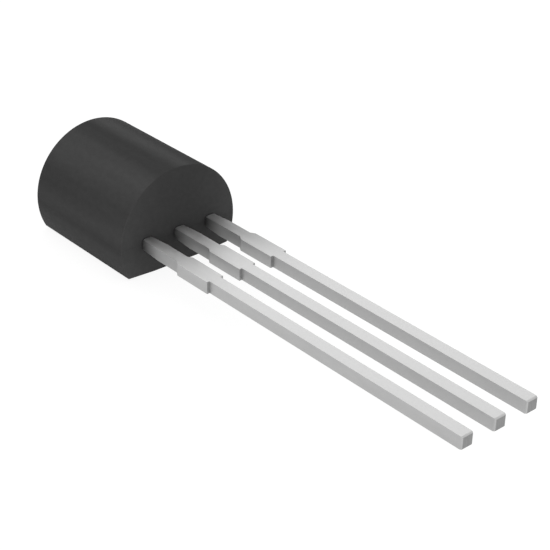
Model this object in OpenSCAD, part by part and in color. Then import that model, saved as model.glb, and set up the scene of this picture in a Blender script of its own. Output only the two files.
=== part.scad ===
// Three-lead transistor in the small moulded package with a D-shaped section.
// It lies on its flat: +Z is up, the leads run towards -Y, and the origin is the middle of the flat.
// Depths inside the body and distances along the leads are counted from the end face that the leads leave.

/* [Moulded body] */
// Diameter of the round back
body_d = 4.58; // [4.45:0.01:5.2]
// Length of the body along the leads
body_len = 4.78; // [4.4:0.01:5.3]
// Height of the round back's axis above the flat, which is also the leads' middle plane
axis_height = 1.13; // [1:0.01:1.4]
// Width of the level land along the middle of the flat
land_w = 2; // [1.4:0.1:2.8]
// Relief angle of the flat on each side of its land, in degrees
relief_angle = 3; // [1:0.5:6]
// Radius on the rims of the two end faces
rim_r = 0.03; // [0.02:0.01:0.12]

/* [Leads] */
// Distance between the centres of neighbouring leads
lead_pitch = 1.27; // [1.2:0.01:1.35]
// Width of a lead
lead_w = 0.43; // [0.38:0.01:0.5]
// Thickness of the strip that the leads are stamped from
strip_t = 0.42; // [0.36:0.01:0.5]
// Length of a lead outside the body
lead_len = 13.87; // [12.7:0.01:15]
// Radius on the edges of the cut tips
tip_r = 0.1; // [0.03:0.01:0.12]

/* [Dam-bar stubs] */
// Distance from the body to the stubs
stub_start = 1.82; // [1.5:0.01:2.4]
// Length of a stub along its lead
stub_len = 1.63; // [1:0.01:1.9]
// Length over which a stub widens at its end next to the body
stub_ramp = 0.16; // [0.05:0.01:0.3]
// How far a stub stands out on each side of its lead
stub_proud = 0.1; // [0.03:0.01:0.14]

/* [Lock notches] */
// Radius of the notches that key the leads into the moulding
notch_r = 0.09; // [0.05:0.01:0.12]
// Depth of the notches inside the body
notch_depth = 0.8; // [0.6:0.05:1.1]

/* [Bond posts] */
// Depth inside the body where the outer leads start to widen into bond posts
post_start = 1.5; // [1.3:0.05:1.7]
// Length of a bond post beyond its shoulder
post_len = 1.2; // [1:0.05:1.4]
// Width of a bond post
post_w = 0.75; // [0.6:0.01:0.85]

/* [Die flag] */
// Depth inside the body where the middle lead starts to widen into the flag
flag_start = 1.85; // [1.7:0.05:2]
// Length of the flag beyond its shoulders
flag_len = 1.7; // [1.5:0.05:1.9]
// Width of the flag
flag_w = 1.5; // [1.2:0.05:1.55]

/* [Posts and flag] */
// Length of the slanted shoulders
shoulder_len = 0.3; // [0.2:0.05:0.4]
// Radius of the inner corners
corner_r = 0.12; // [0.05:0.01:0.18]

/* [Chip] */
// Side of the square chip
chip_w = 0.5; // [0.4:0.01:0.7]
// Thickness of the chip
chip_t = 0.2; // [0.12:0.01:0.28]
// Thickness of the layer that fixes the chip
attach_t = 0.03; // [0.02:0.005:0.05]
// How far that layer reaches past the chip on each side
attach_margin = 0.05; // [0.02:0.01:0.1]
// Distance of the base and emitter pads from the chip's centre
pad_offset = 0.13; // [0.1:0.01:0.16]

/* [Bond wires] */
// Diameter of the wires
wire_d = 0.04; // [0.03:0.005:0.05]
// Height above the ball at which a wire starts to bend over
wire_rise = 0.08; // [0.05:0.01:0.12]
// Radius of a wire's bend
wire_bend_r = 0.1; // [0.07:0.01:0.14]
// Diameter of the ball bond on the chip
ball_d = 0.11; // [0.09:0.01:0.13]
// Thickness of the ball bond
ball_t = 0.03; // [0.02:0.005:0.04]
// Diameter of the stitch bond on the post
stitch_d = 0.12; // [0.1:0.01:0.15]
// Thickness of the stitch bond
stitch_t = 0.02; // [0.015:0.005:0.03]

/* [Hidden] */
$fn = 64;

// Outside of the body
body_r = body_d / 2;
exit_y = -body_len / 2;
tip_y = exit_y - lead_len;

// Lead frame
strip_bottom = axis_height - strip_t / 2;
post_shift = (post_w - lead_w) / 2;
post_y = exit_y + post_start + shoulder_len + post_len / 2;
chip_y = exit_y + flag_start + shoulder_len + flag_len / 2;

// Bond wires, with heights above the face of the strip that carries the chip
chip_top = attach_t + chip_t;
bend_height = chip_top + ball_t + wire_rise;
reach_x = lead_pitch + post_shift - pad_offset;
reach_y = post_y - chip_y;
reach = sqrt(reach_x * reach_x + reach_y * reach_y);
heading = atan2(reach_y, reach_x);

// Straight stretch of a wire: the tangent from the stitch bond to the circle of the bend
drop = bend_height - wire_d / 2;
bend_to_stitch = sqrt(pow(reach - wire_bend_r, 2) + drop * drop);
run_len = sqrt(bend_to_stitch * bend_to_stitch - wire_bend_r * wire_bend_r);
bend_end = acos(wire_bend_r / bend_to_stitch) - atan2(drop, reach - wire_bend_r);

// Rectangle that starts at y = 0, centred on x, with its two far corners rounded
module round_ended(width, length, radius) {
    translate([-width / 2, 0])
        square([width, length - radius]);
    translate([radius - width / 2, 0])
        square([width - 2 * radius, length]);
    for (side = [-1, 1])
        translate([side * (width / 2 - radius), length - radius])
            circle(radius);
}

// Stock above one plane of the flat, with rounded edges where that plane meets the end faces
module stock_above_flat() {
    width = 2 * body_d;
    height = 2 * body_d;
    rotate([90, 0, 90])
        linear_extrude(width, center = true)
            translate([0, height])
                mirror([0, 1])
                    round_ended(body_len, height, rim_r);
}

// Round stock of the body, with rounded rims
module round_stock() {
    translate([0, 0, axis_height])
        rotate([90, 0, 0])
            rotate_extrude()
                translate([0, -body_len / 2]) {
                    translate([0, rim_r])
                        square([body_r, body_len - 2 * rim_r]);
                    square([body_r - rim_r, body_len]);
                    for (end = [rim_r, body_len - rim_r])
                        translate([body_r - rim_r, end])
                            circle(rim_r);
                }
}

// Outside form of the moulding, with nothing taken out of it
module body_block() {
    intersection() {
        round_stock();
        stock_above_flat();
        intersection_for(side = [-1, 1])
            translate([side * land_w / 2, 0, 0])
                rotate([0, -side * relief_angle, 0])
                    stock_above_flat();
    }
}

// Plan of what is left of the dam bar on a lead, slanted at the end next to the body
module stub_outline() {
    lead_half = lead_w / 2;
    stub_half = lead_half + stub_proud;
    top_y = exit_y - stub_start;
    polygon([
        [-lead_half, top_y],
        [-stub_half, top_y - stub_ramp],
        [-stub_half, top_y - stub_len],
        [stub_half, top_y - stub_len],
        [stub_half, top_y - stub_ramp],
        [lead_half, top_y]
    ]);
}

// Plan of one lead up to a given depth inside the body, with its stub and lock notches
module shank_outline(depth) {
    difference() {
        union() {
            translate([0, exit_y + depth])
                mirror([0, 1])
                    round_ended(lead_w, lead_len + depth, tip_r);
            stub_outline();
        }
        for (side = [-1, 1])
            translate([side * lead_w / 2, exit_y + notch_depth])
                circle(notch_r);
    }
}

// Plan of the wide head at the inner end of a lead: slanted shoulders, then a round-cornered pad
module head_outline(start, length, width, shift) {
    shoulder_y = exit_y + start + shoulder_len;
    polygon([
        [-lead_w / 2, exit_y + start],
        [lead_w / 2, exit_y + start],
        [shift + width / 2, shoulder_y],
        [shift - width / 2, shoulder_y]
    ]);
    translate([shift, shoulder_y])
        round_ended(width, length, corner_r);
}

// Strip of the leads' thickness, with the top and bottom edges of its cut end rounded
module strip_stock() {
    width = 4 * lead_pitch;
    length = lead_len + body_len;
    translate([0, tip_y + length, axis_height])
        rotate([90, 0, 90])
            linear_extrude(width, center = true)
                rotate([0, 0, 90])
                    round_ended(strip_t, length, tip_r);
}

// One stamped lead, made from the plan that is given as its child
module stamped_lead() {
    intersection() {
        strip_stock();
        translate([0, 0, strip_bottom])
            linear_extrude(strip_t)
                children();
    }
}

// Mirrors its children to the side of the row with negative x where side is negative
module to_side(side) {
    if (side < 0)
        mirror([1, 0, 0])
            children();
    else
        children();
}

// Lead at one side of the row, with a bond post that widens away from the flag
module outer_lead(side) {
    stamped_lead()
        to_side(side)
            translate([lead_pitch, 0]) {
                shank_outline(post_start);
                head_outline(post_start, post_len, post_w, post_shift);
            }
}

// Middle lead, which ends in the flag that carries the chip
module middle_lead() {
    stamped_lead() {
        shank_outline(flag_start);
        head_outline(flag_start, flag_len, flag_w, 0);
    }
}

// Places its children on the face of the strip that looks towards the flat, with z as height above that face
module on_die_face() {
    translate([0, 0, strip_bottom])
        mirror([0, 0, 1])
            children();
}

// Square plate under or in the chip, centred on it
module chip_plate(width, base, thickness) {
    on_die_face()
        translate([-width / 2, chip_y - width / 2, base])
            cube([width, width, thickness]);
}

// Wire from a pad of the chip to the post on the same side: ball, bend, straight run and stitch
module bond_wire(side) {
    on_die_face()
        to_side(side)
            translate([pad_offset, chip_y, 0])
                rotate([0, 0, heading]) {
                    translate([0, 0, chip_top])
                        cylinder(h = ball_t, d = ball_d);
                    translate([0, 0, chip_top])
                        cylinder(h = ball_t + wire_rise, d = wire_d);
                    translate([wire_bend_r, 0, bend_height])
                        rotate([90, 0, 0])
                            rotate([0, 0, bend_end])
                                rotate_extrude(angle = 180 - bend_end)
                                    translate([wire_bend_r, 0])
                                        circle(d = wire_d);
                    translate([wire_bend_r, 0, bend_height])
                        rotate([0, 90 - bend_end, 0])
                            translate([0, 0, wire_bend_r])
                                rotate([0, 90, 0])
                                    cylinder(h = run_len, d = wire_d);
                    translate([reach, 0, 0])
                        cylinder(h = stitch_t, d = stitch_d);
                }
}

// Everything that the moulding is cast round
module insert() {
    for (side = [-1, 1]) {
        outer_lead(side);
        bond_wire(side);
    }
    middle_lead();
    chip_plate(chip_w + 2 * attach_margin, 0, attach_t);
    chip_plate(chip_w, attach_t, chip_t);
}

module moulded_body() {
    color("#3d3d3d")
        difference() {
            body_block();
            insert();
        }
}

module emitter_lead() {
    color("#d6d6d4")
        outer_lead(1);
}

module collector_lead() {
    color("#d6d6d4")
        middle_lead();
}

module base_lead() {
    color("#d6d6d4")
        outer_lead(-1);
}

module silicon_die() {
    color("#5b6170")
        chip_plate(chip_w, attach_t, chip_t);
}

module die_attach() {
    color("#a8a8a6")
        chip_plate(chip_w + 2 * attach_margin, 0, attach_t);
}

module base_bond_wire() {
    color("#d9b24c")
        bond_wire(-1);
}

module emitter_bond_wire() {
    color("#d9b24c")
        bond_wire(1);
}

moulded_body();
emitter_lead();
collector_lead();
base_lead();
silicon_die();
die_attach();
base_bond_wire();
emitter_bond_wire();
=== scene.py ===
import math

import bmesh
import bpy
from mathutils import Matrix, Vector


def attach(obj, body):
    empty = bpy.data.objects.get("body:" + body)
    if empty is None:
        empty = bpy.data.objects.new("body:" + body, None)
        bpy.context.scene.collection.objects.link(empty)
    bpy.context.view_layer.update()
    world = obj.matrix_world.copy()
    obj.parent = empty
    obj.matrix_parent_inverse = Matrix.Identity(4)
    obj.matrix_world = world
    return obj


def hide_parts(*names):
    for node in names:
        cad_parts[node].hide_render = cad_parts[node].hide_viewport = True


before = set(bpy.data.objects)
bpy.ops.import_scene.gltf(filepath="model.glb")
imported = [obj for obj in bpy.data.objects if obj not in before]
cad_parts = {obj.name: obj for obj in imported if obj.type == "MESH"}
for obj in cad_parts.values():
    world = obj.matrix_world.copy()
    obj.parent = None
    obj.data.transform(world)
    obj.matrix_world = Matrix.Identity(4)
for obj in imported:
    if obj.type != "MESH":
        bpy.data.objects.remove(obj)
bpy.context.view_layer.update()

# All sizes are in millimetres, and MM turns them into metres. All angles are in degrees.
MM = 0.001

# The transistor's sizes, the same as those of the solids
BODY_D = 4.58
BODY_LEN = 4.78
AXIS_HEIGHT = 1.13
LAND_W = 2.0
RELIEF_ANGLE = 3.0
RIM_R = 0.03
LEAD_PITCH = 1.27
LEAD_W = 0.43
STRIP_T = 0.42
LEAD_LEN = 13.87
TIP_R = 0.1
STUB_START = 1.82
STUB_LEN = 1.63
STUB_RAMP = 0.16
STUB_PROUD = 0.1
NOTCH_R = 0.09
NOTCH_DEPTH = 0.8
POST_START = 1.5
POST_LEN = 1.2
POST_W = 0.75
FLAG_START = 1.85
FLAG_LEN = 1.7
FLAG_W = 1.5
SHOULDER_LEN = 0.3
CORNER_R = 0.12
PAD_OFFSET = 0.13

# Forms that are finer than those of the solids: the leads' long edges, which get rounder toward the
# body over EXIT_EDGE_LEN, and the rounded neck by which the body holds each lead
EDGE_R = 0.01
EDGE_RUN_IN = 0.3
EXIT_EDGE_R = 0.13
EXIT_EDGE_LEN = 0.8
NECK_R = 0.07
NECK_LEN = 0.25

# Number of faces along the curves
ROUND_FACES = 96
RIM_FACES = 5
NOTCH_FACES = 10
NECK_FACES = 6
CORNER_FACES = 6
EXIT_SLICES = 8

# Edges that turn by more than these angles are the body's rims, the leads' edges, and sharp in shading
RIM_ANGLE = 20.0
EDGE_ANGLE = 30.0
CREASE_ANGLE = 35.0

# The faces of a lead's two sides have at least this much of their normal across the row
SIDE_NORMAL = 0.9

# Points nearer than this are one point, and places along a lead nearer than CLOSE are one place
SAME_POINT = 1e-5
CLOSE = 1e-4
CUT_REACH = 1e-6

# Places along the leads and over the flag, and how far a post's middle is from its lead's
EXIT_Y = -BODY_LEN / 2
TIP_Y = EXIT_Y - LEAD_LEN
CHIP_Y = EXIT_Y + FLAG_START + SHOULDER_LEN + FLAG_LEN / 2
POST_SHIFT = (POST_W - LEAD_W) / 2

# Noise: its middle, the part of its range that is spread, its roughness, and its levels of detail
NOISE_MIDDLE = 0.5
NOISE_START = 0.3
NOISE_END = 0.7
NOISE_ROUGHNESS = 0.55
COARSE = 2.0
MIDDLING = 3.0
FINE = 4.0

# A face looks along an axis where its normal has this much of it: not yet, and fully
FACING_START = 0.6
FACING_END = 0.8

# Moulding compound. Its flow streaks are two layers of noise, with their sizes, where each starts,
# and the share of the second one. Their tone is partly real flow streaks and partly painted reflection
# bands along the round back.
EPOXY_TONE = 0.0489
EPOXY_GLOSS = 0.01
EPOXY_ROUGHNESS = (0.6, 0.68)
STREAK_SIZES = (1.6, 1.1)
STREAK_STARTS = (3916.9, 799.5)
STREAK_SHARE = 0.36
STREAK_STRETCH = 30
FLOW_AND_PAINTED_BAND_STRENGTH = 2.43
FLOW_AND_PAINTED_BAND_STRENGTH_ON_ENDS = 0.2
STREAK_ROUGHNESS = 0.03
STREAK_DEPTH = 0.004
MOTTLE_SIZE = 0.16
MOTTLE_STRETCH = 1.6
MOTTLE_TONES = (0.95, 1.05)
SKIN_SIZE = 0.02
SKIN_DEPTH = 0.0016
FILLER_SIZE = 0.055
FILLER_DEPTH = 0.003

# The parting line: where its strength starts to fall and ends, its tone and its depth
LINE_START = 0.008
LINE_END = 0.022
LINE_TONE = 0.93
LINE_DEPTH = 0.0015

# Painted light on the end faces: lighter toward their sides, away from the leads' shade, up to the
# square of a distance, and toward the flat, where light bounces from the floor
END_TONES = (0.96, 1.23)
END_SIDES = 4.0
END_LOW_TONE = 1.33
END_LOW_TOP = 0.9

# The ring of painted shade, with some resin bleed, in the moulding round each lead: where it starts to
# fade and ends, how ragged it is, its tone, and how far out along the leads it starts and is full, which
# is just behind the end face
RING_START = 0.02
RING_END = 0.2
RING_RAGGED = 0.04
RING_TONE = 0.95
RING_FROM = -0.03
RING_FULL = -0.01

# Tin plate
TIN_TONE = 0.49
TIN_TINT = (1.0, 1.0, 0.998)
TIN_ROUGHNESS = (0.52, 0.58)
CRYSTAL_SIZE = 0.012
CRYSTAL_TONES = (0.97, 1.03)
CRYSTAL_DEPTH = 0.0008
BLOTCH_SIZE = 0.3
BLOTCH_STRETCH = 3
BLOTCH_TONES = (0.96, 1.04)
ROLLING_SIZE = 0.014
ROLLING_STRETCH = 90
ROLLING_DEPTH = 0.0009
SHEARING_SIZE = 0.018
SHEARING_STRETCH = 30
SHEARING_DEPTH = 0.0012
SIDE_TONE = 0.97
SIDE_ROUGHER = 0.02
CUT_TONES = (0.57, 0.69)
CUT_ROUGHER = 0.08
CUT_SHARE_AT_TIP = 0.7
TIP_FACE_DEPTH = (0.02, 0.05)

# The painted shade on the tin at the exit, where the leads face the dark body, fades out along a lead:
# how strong it is, and its reach
EXIT_SHADE_ON_SIDES = 0.8
EXIT_SHADE_ON_TOPS = 0.35
EXIT_SHADE_ROW_START = 0.5
EXIT_SHADE_REACH_TOPS = 0.25
EXIT_SHADE_REACH_SIDES = 0.5
EXIT_SHADE_RAGGED = 0.06

# Painted shade of the body on a stretch of the tops, strongest at a given distance from the body, for
# the lead at +X and less for the middle one
PAINTED_SHADE_PLACE = 1.25
PAINTED_SHADE_STRENGTH = 0.47

# Painted light on a stretch of the tops, which starts and ends softly, for the other two leads
PAINTED_LIGHT_START = (0.2, 0.7)
PAINTED_LIGHT_END = (0.9, 1.7)
PAINTED_LIGHT_STRENGTH = 0.2
PAINTED_LIGHT_ROW_START = 0.4

# Silicon. A pad reaches half its size from its middle, and fades out over PAD_FADE.
SILICON_TINT = (0.05, 0.06, 0.085)
SILICON_TONES = (0.9, 1.1)
SILICON_ROUGHNESS = 0.18
SILICON_METAL = 0.6
SAWN_ROUGHNESS = 0.5
SAW_SIZE = 0.006
SAW_STRETCH = 12
SAW_DEPTH = 0.0008
CHIP_HAZE_SIZE = 0.08
PAD_TINT = (0.72, 0.72, 0.73)
PAD_TONES = (0.95, 1.05)
PAD_HALF_W = 0.06
PAD_HALF_LEN = 0.08
PAD_FADE = 0.005

# Solder
SOLDER_TONE = 0.42
SOLDER_TINT = (1.0, 1.0, 0.98)
SOLDER_TONES = (0.95, 1.05)
SOLDER_ROUGHNESS = (0.42, 0.55)
SOLDER_HAZE_SIZE = 0.05
CELL_SIZE = 0.03
CELL_DEPTH = 0.001

# Gold wire
GOLD_TINT = (0.82, 0.6, 0.24)
GOLD_TONES = (0.95, 1.05)
GOLD_ROUGHNESS = (0.2, 0.32)
GOLD_HAZE_SIZE = 0.06
DRAWING_SIZE = 0.004
DRAWING_STRETCH = (40, 6, 1)
DRAWING_DEPTH = 0.0003

# The floor, and the world, which is dimmer as a light than as a background
FLOOR_DROP = 0.01
FLOOR_R = 900.0
FLOOR_FACES = 96
FLOOR_PAINT = (0.9, 0.9, 0.9, 1)
FLOOR_SHADE = 0.2
FLOOR_GLOW = 1.1
WHITE = (1, 1, 1, 1)
WORLD_LIGHT = 0.75

# Soft lamps: name, direction, distance, width, height and radiance
LAMPS = (
    ("key_behind", (0.39, 0.71, 0.588), 500, 620, 300, 1.1),
    ("overhead", (-0.1, 0.35, 1.0), 600, 500, 400, 0.5),
    ("front_left", (-0.6, -0.66, 0.22), 500, 400, 220, 1.6),
)

# The camera that took the photograph, from a fit to the edges of the leads and the body
CAMERA_PLACE = Vector((-26.022, -36.647, 24.006))
CAMERA_FORWARD = Vector((0.57472, 0.65172, -0.49494))
CAMERA_RIGHT = Vector((0.75629, -0.65401, 0.01701))
SENSOR_W = 36.0
CAMERA_LENS = 98.4
CLIP_START = 1.0
CLIP_END = 10000.0


# Nodes

def add_node(tree, kind, inputs=None, **settings):
    """Adds a node. Each input is a value, or an output socket to link from."""
    made = tree.nodes.new(kind)
    for name, value in settings.items():
        setattr(made, name, value)
    for name, value in (inputs or {}).items():
        if isinstance(value, bpy.types.NodeSocket):
            tree.links.new(value, made.inputs[name])
        else:
            made.inputs[name].default_value = value
    return made


def math_node(tree, operation, first, second=0.0, clamp=False):
    made = add_node(tree, "ShaderNodeMath", {0: first, 1: second}, operation=operation)
    made.use_clamp = clamp
    return made.outputs[0]


def plus(tree, first, second):
    return math_node(tree, "ADD", first, second)


def minus(tree, first, second):
    return math_node(tree, "SUBTRACT", first, second)


def times(tree, first, *others):
    """The product of two or more values."""
    product = first
    for other in others:
        product = math_node(tree, "MULTIPLY", product, other)
    return product


def size_of(tree, value):
    return math_node(tree, "ABSOLUTE", value)


def remap(tree, value, start, end, low, high):
    """Turns the values from start to end into those from low to high, and holds the rest at these."""
    ranges = {"Value": value, "From Min": start, "From Max": end, "To Min": low, "To Max": high}
    return add_node(tree, "ShaderNodeMapRange", ranges).outputs[0]


def rise(tree, value, start, end):
    """From 0 at the start to 1 at the end."""
    return remap(tree, value, start, end, 0.0, 1.0)


def fall(tree, value, start, end):
    """From 1 at the start to 0 at the end."""
    return remap(tree, value, start, end, 1.0, 0.0)


def between(tree, share, low, high):
    """The value that lies between two others by a share."""
    return remap(tree, share, 0.0, 1.0, low, high)


def spread(tree, noise, low, high):
    """Spreads a noise over the range from low to high."""
    return remap(tree, noise, NOISE_START, NOISE_END, low, high)


def blend(tree, first, second, share):
    """Mixes two values, with the given share of the second one."""
    return plus(tree, times(tree, first, 1 - share), times(tree, second, share))


def object_coords(tree):
    return add_node(tree, "ShaderNodeTexCoord").outputs["Object"]


def axis_value(tree, source, axis):
    """One component of a vector socket."""
    return add_node(tree, "ShaderNodeSeparateXYZ", {0: source}).outputs[axis]


def place(tree, axis):
    """The place along one axis."""
    return math_node(tree, "DIVIDE", axis_value(tree, object_coords(tree), axis), MM)


def facing(tree, axis):
    """1 on faces that look along the axis, either way, and 0 on the others."""
    normal = add_node(tree, "ShaderNodeNewGeometry").outputs["True Normal"]
    return rise(tree, size_of(tree, axis_value(tree, normal, axis)), FACING_START, FACING_END)


def grain(tree, size, detail, stretch=(1, 1, 1), shift=0.0):
    """Noise with grains of about the given size, longer along an axis by its stretch."""
    scale = [1 / (size * MM * s) for s in stretch]
    placing = {"Vector": object_coords(tree), "Scale": scale, "Location": (0, shift, 0)}
    placed = add_node(tree, "ShaderNodeMapping", placing)
    settings = {
        "Vector": placed.outputs[0], "Scale": 1.0, "Detail": detail, "Roughness": NOISE_ROUGHNESS
    }
    return add_node(tree, "ShaderNodeTexNoise", settings).outputs[0]


def grey(tree, value, tint=(1.0, 1.0, 1.0)):
    """A colour of the given lightness and tint."""
    parts = [times(tree, value, t) for t in tint]
    inputs = dict(zip(("Red", "Green", "Blue"), parts))
    return add_node(tree, "ShaderNodeCombineColor", inputs).outputs[0]


def bumps(tree, *layers):
    """Stacks bumps. Each layer is a height socket and its depth."""
    normal = None
    for height, depth in layers:
        inputs = {"Height": height, "Strength": 1.0, "Distance": depth * MM}
        if normal is not None:
            inputs["Normal"] = normal
        normal = add_node(tree, "ShaderNodeBump", inputs).outputs[0]
    return normal


# Materials

def new_material(name):
    """A material with a Principled shader. Gives back the material, its tree and the shader."""
    material = bpy.data.materials.new(name)
    material.use_nodes = True
    tree = material.node_tree
    tree.nodes.clear()
    shader = tree.nodes.new("ShaderNodeBsdfPrincipled")
    add_node(tree, "ShaderNodeOutputMaterial", {"Surface": shader.outputs[0]})
    return material, tree, shader


def finish_material(tree, shader, colour, roughness, normal):
    """Links what varies over a surface to its shader."""
    tree.links.new(colour, shader.inputs["Base Color"])
    tree.links.new(roughness, shader.inputs["Roughness"])
    tree.links.new(normal, shader.inputs["Normal"])


def from_lead(tree):
    """The distance to the outline of the nearest lead, across the row and up."""
    across = size_of(tree, place(tree, 0))
    from_outer = size_of(tree, minus(tree, across, LEAD_PITCH))
    beside = minus(tree, math_node(tree, "MINIMUM", across, from_outer), LEAD_W / 2)
    from_axis = size_of(tree, minus(tree, place(tree, 2), AXIS_HEIGHT))
    return math_node(tree, "MAXIMUM", beside, minus(tree, from_axis, STRIP_T / 2))


def out_of_body(tree):
    """The distance from the body's end face, out along the leads."""
    return minus(tree, EXIT_Y, place(tree, 1))


def exit_ring_shade(tree, mottle):
    """Darkens the end face a little in a ragged ring round each lead: painted shade, with some resin
    bleed.
    """
    near_lead = plus(tree, from_lead(tree), spread(tree, mottle, -RING_RAGGED, RING_RAGGED))
    ring = fall(tree, near_lead, RING_START, RING_END)
    ring = times(tree, ring, rise(tree, out_of_body(tree), RING_FROM, RING_FULL))
    return between(tree, ring, 1.0, RING_TONE)


def painted_end_light(tree, end):
    """Paints light on the end faces: lighter toward their sides and toward the flat."""
    across = size_of(tree, place(tree, 0))
    sides = remap(tree, times(tree, across, across), 0.0, END_SIDES, *END_TONES)
    low = remap(tree, place(tree, 2), 0.0, END_LOW_TOP, END_LOW_TONE, 1.0)
    # How much painted light each point of the end faces gets.
    painted_lift = minus(tree, times(tree, sides, low), 1.0)
    return plus(tree, times(tree, painted_lift, end), 1.0)


def moulded_epoxy():
    """Dark grey moulding compound: matt mould skin, flow streaks partly painted as reflection bands, and
    the mould's parting line.
    """
    material, tree, shader = new_material("moulded_epoxy")
    along = (1, STREAK_STRETCH, 1)
    layers = [grain(tree, s, COARSE, along, t) for s, t in zip(STREAK_SIZES, STREAK_STARTS)]
    streaks = blend(tree, *layers, STREAK_SHARE)
    mottle = grain(tree, MOTTLE_SIZE, FINE, (1, MOTTLE_STRETCH, 1))
    skin = grain(tree, SKIN_SIZE, COARSE)
    filler = grain(tree, FILLER_SIZE, MIDDLING)
    from_line = size_of(tree, minus(tree, place(tree, 2), AXIS_HEIGHT))
    line = fall(tree, from_line, LINE_START, LINE_END)
    end = facing(tree, 1)
    # The streaks' tone, weaker on the end faces, is partly painted reflection bands on the round back.
    strength = between(tree, end, FLOW_AND_PAINTED_BAND_STRENGTH, FLOW_AND_PAINTED_BAND_STRENGTH_ON_ENDS)
    tone = plus(tree, times(tree, minus(tree, streaks, NOISE_MIDDLE), strength), 1.0)
    tone = times(tree, tone, spread(tree, mottle, *MOTTLE_TONES))
    tone = times(tree, tone, between(tree, line, 1.0, LINE_TONE))
    # Painted light toward the end faces' sides and flat, and a ring of painted shade round the leads.
    tone = times(tree, tone, painted_end_light(tree, end), exit_ring_shade(tree, mottle))
    colour = grey(tree, times(tree, tone, EPOXY_TONE))
    streak_roughness = spread(tree, streaks, -STREAK_ROUGHNESS, STREAK_ROUGHNESS)
    roughness = plus(tree, spread(tree, filler, *EPOXY_ROUGHNESS), streak_roughness)
    normal = bumps(
        tree, (skin, SKIN_DEPTH), (filler, FILLER_DEPTH), (streaks, STREAK_DEPTH), (line, -LINE_DEPTH)
    )
    finish_material(tree, shader, colour, roughness, normal)
    shader.inputs["Specular IOR Level"].default_value = EPOXY_GLOSS
    return material


def exit_shade_tone(tree, out, row, side, blotches):
    """Darkens the leads where they leave the body: painted shade from the dark body beside them."""
    ragged = plus(tree, out, spread(tree, blotches, -EXIT_SHADE_RAGGED, EXIT_SHADE_RAGGED))
    reach = between(tree, side, -EXIT_SHADE_REACH_TOPS, -EXIT_SHADE_REACH_SIDES)
    exit_shade = math_node(tree, "EXPONENT", math_node(tree, "DIVIDE", ragged, reach))
    on_tops = remap(tree, row, EXIT_SHADE_ROW_START, 1.0, EXIT_SHADE_ON_TOPS, 0.0)
    exit_shade = times(tree, exit_shade, between(tree, side, on_tops, EXIT_SHADE_ON_SIDES))
    return minus(tree, 1.0, exit_shade)


def painted_shade_tone(tree, out, row, side):
    """Paints shade on a stretch of the tops, more for the leads toward +X."""
    along = math_node(tree, "DIVIDE", out, PAINTED_SHADE_PLACE)
    hump = times(tree, along, math_node(tree, "EXPONENT", minus(tree, 1.0, along)))
    painted_shade = times(tree, math_node(tree, "POWER", hump, 2.0), math_node(tree, "POWER", row, 2.0))
    painted_shade = times(tree, painted_shade, between(tree, side, PAINTED_SHADE_STRENGTH, 0.0))
    return minus(tree, 1.0, painted_shade)


def painted_light_tone(tree, out, row, side):
    """Paints light on a stretch of the tops, more for the leads toward -X."""
    painted_light = times(tree, rise(tree, out, *PAINTED_LIGHT_START), fall(tree, out, *PAINTED_LIGHT_END))
    painted_light = times(tree, painted_light, remap(tree, row, PAINTED_LIGHT_ROW_START, 1.0, PAINTED_LIGHT_STRENGTH, 0.0))
    painted_light = times(tree, painted_light, between(tree, side, 1.0, 0.0))
    return plus(tree, 1.0, painted_light)


def tinned_strip():
    """Matt tin plate on stamped strip: rolled faces, sheared sides and darker cut ends."""
    material, tree, shader = new_material("tinned_strip")
    crystals = grain(tree, CRYSTAL_SIZE, COARSE)
    blotches = grain(tree, BLOTCH_SIZE, MIDDLING, (1, BLOTCH_STRETCH, 1))
    rolling = grain(tree, ROLLING_SIZE, COARSE, (1, ROLLING_STRETCH, 1))
    shearing = grain(tree, SHEARING_SIZE, COARSE, (1, 1, SHEARING_STRETCH))
    side, across, rolled = [facing(tree, axis) for axis in range(3)]
    at_tip = fall(tree, place(tree, 1), *(TIP_Y + depth for depth in TIP_FACE_DEPTH))
    cut = times(tree, across, between(tree, at_tip, CUT_SHARE_AT_TIP, 1.0))
    out = math_node(tree, "MAXIMUM", out_of_body(tree), 0.0)
    row = rise(tree, place(tree, 0), -LEAD_PITCH, LEAD_PITCH)
    tone = times(tree, spread(tree, blotches, *BLOTCH_TONES), spread(tree, crystals, *CRYSTAL_TONES))
    tone = times(tree, tone, between(tree, side, 1.0, SIDE_TONE))
    # Painted shade where the leads leave the body.
    tone = times(tree, tone, exit_shade_tone(tree, out, row, side, blotches))
    # Painted shade and painted light along the tops.
    tone = times(tree, tone, painted_shade_tone(tree, out, row, side), painted_light_tone(tree, out, row, side))
    cut_tone = times(tree, spread(tree, shearing, *CUT_TONES), cut)
    tone = times(tree, tone, plus(tree, cut_tone, minus(tree, 1.0, cut)))
    colour = grey(tree, times(tree, tone, TIN_TONE), TIN_TINT)
    roughness = plus(tree, spread(tree, blotches, *TIN_ROUGHNESS), times(tree, side, SIDE_ROUGHER))
    roughness = plus(tree, roughness, times(tree, cut, CUT_ROUGHER))
    rolling_lines = times(tree, rolling, rolled)
    shear_marks = times(tree, shearing, plus(tree, side, cut))
    normal = bumps(
        tree, (crystals, CRYSTAL_DEPTH), (rolling_lines, ROLLING_DEPTH), (shear_marks, SHEARING_DEPTH)
    )
    finish_material(tree, shader, colour, roughness, normal)
    shader.inputs["Metallic"].default_value = 1.0
    return material


def pads(tree):
    """1 on the chip's two bond pads, and 0 round them."""
    from_pad = size_of(tree, minus(tree, size_of(tree, place(tree, 0)), PAD_OFFSET))
    from_middle = size_of(tree, minus(tree, place(tree, 1), CHIP_Y))
    in_width = fall(tree, from_pad, PAD_HALF_W, PAD_HALF_W + PAD_FADE)
    in_length = fall(tree, from_middle, PAD_HALF_LEN, PAD_HALF_LEN + PAD_FADE)
    return times(tree, in_width, in_length, facing(tree, 2))


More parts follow.
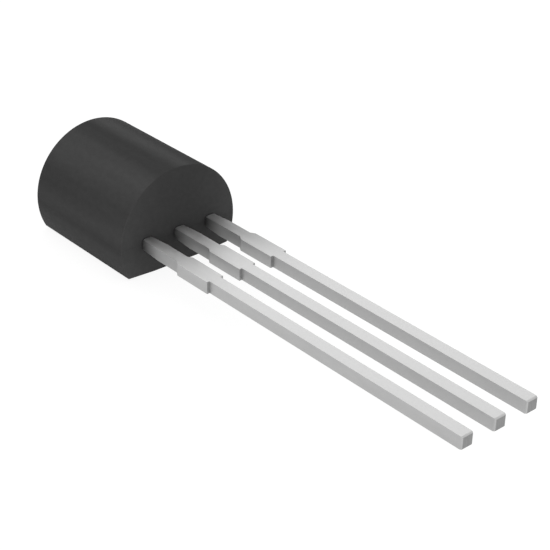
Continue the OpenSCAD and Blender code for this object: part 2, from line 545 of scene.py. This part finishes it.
def silicon():
    """Sawn chip: glossy passivated face with two bond pads, and sawn sides."""
    material, tree, shader = new_material("silicon")
    saw = grain(tree, SAW_SIZE, COARSE, (SAW_STRETCH, SAW_STRETCH, 1))
    haze = grain(tree, CHIP_HAZE_SIZE, MIDDLING)
    sawn = minus(tree, 1.0, facing(tree, 2))
    pad = pads(tree)
    plain = grey(tree, spread(tree, haze, *SILICON_TONES), SILICON_TINT)
    metal = grey(tree, spread(tree, haze, *PAD_TONES), PAD_TINT)
    colours = {"Factor": pad, 6: plain, 7: metal}
    colour = add_node(tree, "ShaderNodeMix", colours, data_type="RGBA").outputs[2]
    roughness = between(tree, sawn, SILICON_ROUGHNESS, SAWN_ROUGHNESS)
    normal = bumps(tree, (times(tree, saw, sawn), SAW_DEPTH))
    finish_material(tree, shader, colour, roughness, normal)
    tree.links.new(between(tree, pad, SILICON_METAL, 1.0), shader.inputs["Metallic"])
    return material


def solder():
    """Dull soft solder with a crystalline skin."""
    material, tree, shader = new_material("solder")
    placing = {"Vector": object_coords(tree), "Scale": 1 / (CELL_SIZE * MM)}
    cells = add_node(tree, "ShaderNodeTexVoronoi", placing).outputs[0]
    haze = grain(tree, SOLDER_HAZE_SIZE, MIDDLING)
    tone = times(tree, between(tree, cells, *SOLDER_TONES), SOLDER_TONE)
    roughness = spread(tree, haze, *SOLDER_ROUGHNESS)
    normal = bumps(tree, (cells, CELL_DEPTH))
    finish_material(tree, shader, grey(tree, tone, SOLDER_TINT), roughness, normal)
    shader.inputs["Metallic"].default_value = 1.0
    return material


def gold_wire():
    """Drawn gold wire, bright, with faint drawing lines."""
    material, tree, shader = new_material("gold_wire")
    lines = grain(tree, DRAWING_SIZE, COARSE, DRAWING_STRETCH)
    haze = grain(tree, GOLD_HAZE_SIZE, COARSE)
    colour = grey(tree, spread(tree, haze, *GOLD_TONES), GOLD_TINT)
    roughness = spread(tree, lines, *GOLD_ROUGHNESS)
    finish_material(tree, shader, colour, roughness, bumps(tree, (lines, DRAWING_DEPTH)))
    shader.inputs["Metallic"].default_value = 1.0
    return material


# Shapes

def verts_of(geometry):
    return [g for g in geometry if isinstance(g, bmesh.types.BMVert)]


def cut_across(bm, y):
    """Cuts all faces across the leads at one place."""
    everything = bm.verts[:] + bm.edges[:] + bm.faces[:]
    bmesh.ops.bisect_plane(
        bm, geom=everything, plane_co=(0, y, 0), plane_no=(0, 1, 0), dist=CUT_REACH
    )


def verts_at(bm, y):
    return [v for v in bm.verts if abs(v.co.y - y) < SAME_POINT]


def new_piece(name, bm):
    """Makes an object from a shape in millimetres, closed and with its faces outward."""
    bmesh.ops.remove_doubles(bm, verts=bm.verts[:], dist=SAME_POINT)
    bmesh.ops.recalc_face_normals(bm, faces=bm.faces[:])
    bmesh.ops.scale(bm, vec=(MM, MM, MM), verts=bm.verts[:])
    mesh = bpy.data.meshes.new(name)
    bm.to_mesh(mesh)
    bm.free()
    for polygon in mesh.polygons:
        polygon.use_smooth = True
    mesh.set_sharp_from_angle(angle=math.radians(CREASE_ANGLE))
    piece = bpy.data.objects.new(name, mesh)
    bpy.context.scene.collection.objects.link(piece)
    return piece


def bake_modifiers(piece):
    """Gives a piece the mesh that its modifiers make, and takes them off."""
    bpy.context.view_layer.update()
    made = piece.evaluated_get(bpy.context.evaluated_depsgraph_get())
    mesh = bpy.data.meshes.new_from_object(made)
    piece.modifiers.clear()
    old = piece.data
    piece.data = mesh
    bpy.data.meshes.remove(old)
    mesh.name = piece.name


def even_normals(piece):
    """Lets large faces look flat beside their roundings."""
    weighted = piece.modifiers.new("even_normals", "WEIGHTED_NORMAL")
    weighted.keep_sharp = True
    bake_modifiers(piece)


def relief_width():
    """How far each relief of the flat reaches, along its slope, from the land to the round back."""
    relief = math.radians(RELIEF_ANGLE)
    half = LAND_W / 2
    along = half * math.cos(relief) - AXIS_HEIGHT * math.sin(relief)
    beyond = (BODY_D / 2) ** 2 - half ** 2 - AXIS_HEIGHT ** 2
    return math.sqrt(along ** 2 + beyond) - along


def body_block():
    """The moulding's outside: the D of its section, drawn out along the leads, with its rims rounded."""
    bm = bmesh.new()
    relief = math.radians(RELIEF_ANGLE)
    corner_x = LAND_W / 2 + relief_width() * math.cos(relief)
    corner_z = relief_width() * math.sin(relief)
    corner = bm.verts.new((corner_x, EXIT_Y, corner_z))
    below = math.atan2(AXIS_HEIGHT - corner_z, corner_x)
    spun = bmesh.ops.spin(
        bm, geom=[corner], cent=(0, EXIT_Y, AXIS_HEIGHT), axis=(0, -1, 0),
        angle=math.pi + 2 * below, steps=ROUND_FACES, use_duplicate=False
    )
    land = [bm.verts.new((side * LAND_W / 2, EXIT_Y, 0)) for side in (-1, 1)]
    for first, second in zip((verts_of(spun["geom_last"])[0], *land), (*land, corner)):
        bm.edges.new((first, second))
    bmesh.ops.contextual_create(bm, geom=bm.edges[:])
    grown = bmesh.ops.extrude_face_region(bm, geom=bm.faces[:])
    bmesh.ops.translate(bm, verts=verts_of(grown["geom"]), vec=(0, BODY_LEN, 0))
    bmesh.ops.recalc_face_normals(bm, faces=bm.faces[:])
    rims = [e for e in bm.edges if e.calc_face_angle(0.0) > math.radians(RIM_ANGLE)]
    bmesh.ops.bevel(
        bm, geom=rims, offset=RIM_R, offset_type="OFFSET", segments=RIM_FACES, profile=0.5,
        affect="EDGES", material=-1
    )
    return bm


def draw_out(bm, face, offset):
    """Draws one face of a closed shape out, and gives back its corners in their new place."""
    grown = bmesh.ops.extrude_face_region(bm, geom=[face])
    bmesh.ops.delete(bm, geom=[face], context="FACES_ONLY")
    moved = verts_of(grown["geom"])
    bmesh.ops.translate(bm, verts=moved, vec=offset)
    return moved


def side_faces(bm, low_y, high_y):
    """The faces of a lead's two sides between two places along it."""
    found = []
    for face in bm.faces:
        middle = face.calc_center_median()
        if abs(face.normal.x) > SIDE_NORMAL and low_y < middle.y < high_y:
            found.append(face)
    return found


def cut_notches(bm):
    """The half-round lock notches in both sides, cut into slices and drawn in."""
    middle_y = EXIT_Y + NOTCH_DEPTH
    for step in range(NOTCH_FACES + 1):
        turn = math.pi * step / NOTCH_FACES
        y = middle_y - NOTCH_R * math.cos(turn)
        cut_across(bm, y)
        half = LEAD_W / 2 - NOTCH_R * math.sin(turn)
        for vert in verts_at(bm, y):
            vert.co.x = math.copysign(half, vert.co.x)


def set_section(bm, y, inset):
    """Cuts a lead across and makes its section there smaller by an inset on every side."""
    cut_across(bm, y)
    for vert in verts_at(bm, y):
        vert.co.x = math.copysign(LEAD_W / 2 - inset, vert.co.x)
        up = math.copysign(STRIP_T / 2 - inset, vert.co.z - AXIS_HEIGHT)
        vert.co.z = AXIS_HEIGHT + up


def round_neck(bm):
    """Rounds a lead off where it meets the body, which holds it by a thinner neck there."""
    for step in range(NECK_FACES + 1):
        turn = math.pi / 2 * step / NECK_FACES
        set_section(bm, EXIT_Y - NECK_R * (1 - math.sin(turn)), NECK_R * (1 - math.cos(turn)))
    set_section(bm, EXIT_Y + NECK_LEN, NECK_R)


def inner_end(bm):
    """The end face of a lead inside the body."""
    return max(bm.faces, key=lambda face: face.calc_center_median().y)


def lead_shape(head_start, head_len, head_w, head_shift):
    """A stamped lead round x = 0 with sharp edges, and the weights for its roundings."""
    bm = bmesh.new()
    bmesh.ops.create_cube(bm, size=1.0)
    head_y = EXIT_Y + head_start
    length = head_y - TIP_Y
    bmesh.ops.scale(bm, vec=(LEAD_W, length, STRIP_T), verts=bm.verts[:])
    bmesh.ops.translate(bm, verts=bm.verts[:], vec=(0, (head_y + TIP_Y) / 2, AXIS_HEIGHT))
    stub_high = EXIT_Y - STUB_START
    stub_low = stub_high - STUB_LEN
    for y in (stub_low, stub_high, EXIT_Y + EDGE_RUN_IN):
        cut_across(bm, y)
    for face in side_faces(bm, stub_low, stub_high):
        stub = draw_out(bm, face, face.normal * STUB_PROUD)
        inner = [v for v in stub if v.co.y > stub_high - STUB_RAMP]
        bmesh.ops.translate(bm, verts=inner, vec=(0, -STUB_RAMP, 0))
    for step in range(1, EXIT_SLICES + 1):
        cut_across(bm, EXIT_Y - EXIT_EDGE_LEN * step / EXIT_SLICES)
    round_neck(bm)
    cut_notches(bm)
    shoulder = draw_out(bm, inner_end(bm), (0, SHOULDER_LEN, 0))
    bmesh.ops.scale(bm, vec=(head_w / LEAD_W, 1, 1), verts=shoulder)
    bmesh.ops.translate(bm, verts=shoulder, vec=(head_shift, 0, 0))
    draw_out(bm, inner_end(bm), (0, head_len, 0))
    weigh_edges(bm, head_y + SHOULDER_LEN + head_len)
    return bm


def weigh_edges(bm, end_y):
    """Writes each edge's rounding as a share of the largest one, which the head's corners have."""
    weights = bm.edges.layers.float.new("bevel_weight_edge")
    bmesh.ops.recalc_face_normals(bm, faces=bm.faces[:])
    for edge in bm.edges:
        if edge.calc_face_angle_signed(0.0) < math.radians(EDGE_ANGLE):
            continue
        low, high = sorted(v.co.y for v in edge.verts)
        upright = abs(edge.verts[0].co.z - edge.verts[1].co.z) > STRIP_T / 2
        if high < TIP_Y + CLOSE:
            edge[weights] = TIP_R / CORNER_R
        elif high < EXIT_Y + EDGE_RUN_IN + CLOSE:
            edge[weights] = EDGE_R / CORNER_R
        elif upright and low > end_y - CLOSE:
            edge[weights] = 1.0


def long_edge_radius(y):
    """The radius of a lead's long edges, which grows toward the body."""
    share = 1 - (EXIT_Y - y) / EXIT_EDGE_LEN
    return EDGE_R + (EXIT_EDGE_R - EDGE_R) * min(max(share, 0.0), 1.0)


def exit_sections(mesh):
    """The points of a lead's sections near the body, by their place along it."""
    sections = {}
    for vert in mesh.vertices:
        y = vert.co.y / MM
        if EXIT_Y - EXIT_EDGE_LEN - CLOSE < y < EXIT_Y + NECK_LEN + CLOSE:
            sections.setdefault(round(y, 4), []).append(vert)
    return sections


def round_exit(mesh, x):
    """Gives the section of a lead at x rounder corners where it meets the body."""
    for y, corners in exit_sections(mesh).items():
        radius = long_edge_radius(y)
        places = [(v, v.co.x / MM - x, v.co.z / MM - AXIS_HEIGHT) for v in corners]
        half_w = max(abs(across) for _, across, _ in places)
        half_t = max(abs(up) for _, _, up in places)
        for vert, across, up in places:
            turn = math.atan2(abs(up) - half_t + EDGE_R, abs(across) - half_w + EDGE_R)
            turn = min(max(turn, 0.0), math.pi / 2)
            new_across = half_w - radius * (1 - math.cos(turn))
            new_up = half_t - radius * (1 - math.sin(turn))
            vert.co.x = (x + math.copysign(new_across, across)) * MM
            vert.co.z = (AXIS_HEIGHT + math.copysign(new_up, up)) * MM


def stamped_lead(name, x, side, head_start, head_len, head_w, head_shift):
    """One finished lead of the row, as an object."""
    bm = lead_shape(head_start, head_len, head_w, head_shift)
    if side < 0:
        bmesh.ops.scale(bm, vec=(-1, 1, 1), verts=bm.verts[:])
    bmesh.ops.translate(bm, verts=bm.verts[:], vec=(x, 0, 0))
    piece = new_piece(name, bm)
    rounding = piece.modifiers.new("roundings", "BEVEL")
    rounding.limit_method = "WEIGHT"
    rounding.width = CORNER_R * MM
    rounding.segments = CORNER_FACES
    rounding.profile = 0.5
    bake_modifiers(piece)
    round_exit(piece.data, x)
    piece.data.set_sharp_from_angle(angle=math.radians(CREASE_ANGLE))
    even_normals(piece)
    return piece


def join_doubles(mesh):
    """Joins points of a mesh that lie in one place."""
    reach = 2 * SAME_POINT * MM
    bm = bmesh.new()
    bm.from_mesh(mesh)
    bmesh.ops.remove_doubles(bm, verts=bm.verts[:], dist=reach)
    bmesh.ops.dissolve_degenerate(bm, edges=bm.edges[:], dist=reach)
    bm.to_mesh(mesh)
    bm.free()


def cast_round(block, inserts):
    """Takes the pockets of everything that the moulding is cast round out of it."""
    group = bpy.data.collections.new("inserts")
    for insert in inserts:
        group.objects.link(insert)
    pockets = block.modifiers.new("pockets", "BOOLEAN")
    pockets.operation = "DIFFERENCE"
    pockets.solver = "EXACT"
    pockets.operand_type = "COLLECTION"
    pockets.collection = group
    bake_modifiers(block)
    bpy.data.collections.remove(group)
    join_doubles(block.data)
    even_normals(block)


def joined_copy(node):
    """A copy of a CAD node with its loose triangles joined."""
    bm = bmesh.new()
    bm.from_mesh(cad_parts[node].data)
    bmesh.ops.scale(bm, vec=(1 / MM, 1 / MM, 1 / MM), verts=bm.verts[:])
    return new_piece(node + "_copy", bm)


# The transistor

def dress(piece, material, node):
    """Gives a new piece its finish and puts it in a CAD node's place."""
    piece.data.materials.clear()
    piece.data.materials.append(material)
    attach(piece, "root")
    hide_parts(node)


def dress_node(node, material):
    """Gives a CAD node that stays its finish."""
    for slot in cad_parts[node].material_slots:
        slot.material = material


tin = tinned_strip()
post = (POST_START, POST_LEN, POST_W, POST_SHIFT)
flag = (FLAG_START, FLAG_LEN, FLAG_W, 0.0)
emitter = stamped_lead("emitter_lead_tinned", LEAD_PITCH, 1, *post)
collector = stamped_lead("collector_lead_tinned", 0.0, 1, *flag)
base = stamped_lead("base_lead_tinned", -LEAD_PITCH, -1, *post)
dress(emitter, tin, "emitter_lead")
dress(collector, tin, "collector_lead")
dress(base, tin, "base_lead")

body = new_piece("moulded_body_cast", body_block())
hidden_nodes = ("die_attach", "silicon_die", "base_bond_wire", "emitter_bond_wire")
copies = [joined_copy(node) for node in hidden_nodes]
cast_round(body, [emitter, collector, base, *copies])
for copy in copies:
    bpy.data.objects.remove(copy)
dress(body, moulded_epoxy(), "moulded_body")

gold = gold_wire()
dress_node("silicon_die", silicon())
dress_node("die_attach", solder())
dress_node("base_bond_wire", gold)
dress_node("emitter_bond_wire", gold)


# Floor, light and camera

def seen_directly(tree):
    """1 for what the camera, a reflection or a clear piece sees, and 0 for the light on a surface."""
    paths = add_node(tree, "ShaderNodeLightPath")
    seen = plus(tree, paths.outputs["Is Camera Ray"], paths.outputs["Is Glossy Ray"])
    return math_node(tree, "ADD", seen, paths.outputs["Is Transmission Ray"], clamp=True)


def make_floor():
    """A plain white floor that shows as white and keeps a soft shadow."""
    bm = bmesh.new()
    level = Matrix.Translation((0, 0, -FLOOR_DROP * MM))
    bmesh.ops.create_circle(
        bm, cap_ends=True, segments=FLOOR_FACES, radius=FLOOR_R * MM, matrix=level
    )
    mesh = bpy.data.meshes.new("floor")
    bm.to_mesh(mesh)
    bm.free()
    floor = bpy.data.objects.new("floor", mesh)
    bpy.context.scene.collection.objects.link(floor)
    material = bpy.data.materials.new("white_floor")
    material.use_nodes = True
    tree = material.node_tree
    tree.nodes.clear()
    paint = add_node(tree, "ShaderNodeBsdfDiffuse", {"Color": FLOOR_PAINT})
    glow = add_node(tree, "ShaderNodeEmission", {"Color": WHITE, "Strength": FLOOR_GLOW})
    share = times(tree, seen_directly(tree), 1 - FLOOR_SHADE)
    parts = {0: share, 1: paint.outputs[0], 2: glow.outputs[0]}
    surface = add_node(tree, "ShaderNodeMixShader", parts)
    add_node(tree, "ShaderNodeOutputMaterial", {"Surface": surface.outputs[0]})
    mesh.materials.append(material)


def make_world():
    """A plain white studio."""
    world = bpy.data.worlds.new("studio")
    world.use_nodes = True
    tree = world.node_tree
    tree.nodes.clear()
    level = between(tree, seen_directly(tree), WORLD_LIGHT, 1.0)
    background = add_node(tree, "ShaderNodeBackground", {"Color": WHITE, "Strength": level})
    add_node(tree, "ShaderNodeOutputWorld", {"Surface": background.outputs[0]})
    bpy.context.scene.world = world


def softbox(name, direction, distance, width, height, radiance):
    """A soft lamp that looks at the transistor."""
    lamp = bpy.data.lights.new(name, "AREA")
    lamp.shape = "RECTANGLE"
    lamp.size = width * MM
    lamp.size_y = height * MM
    lamp.energy = radiance * math.pi * lamp.size * lamp.size_y
    holder = bpy.data.objects.new(name, lamp)
    towards = Vector(direction).normalized()
    holder.location = towards * distance * MM
    holder.rotation_mode = "QUATERNION"
    holder.rotation_quaternion = towards.to_track_quat("Z", "Y")
    holder.visible_camera = False
    bpy.context.scene.collection.objects.link(holder)


def make_camera():
    """The photograph's camera."""
    camera = bpy.data.cameras.new("camera")
    camera.sensor_width = SENSOR_W
    camera.lens = CAMERA_LENS
    camera.clip_start = CLIP_START * MM
    camera.clip_end = CLIP_END * MM
    holder = bpy.data.objects.new("camera", camera)
    back = -CAMERA_FORWARD.normalized()
    right = CAMERA_RIGHT.normalized()
    up = back.cross(right).normalized()
    turn = Matrix((right, up, back)).transposed()
    holder.matrix_world = Matrix.Translation(CAMERA_PLACE * MM) @ turn.to_4x4()
    bpy.context.scene.collection.objects.link(holder)
    bpy.context.scene.camera = holder


make_floor()
make_world()
for lamp_values in LAMPS:
    softbox(*lamp_values)
make_camera()
bpy.context.scene.view_settings.view_transform = "Standard"
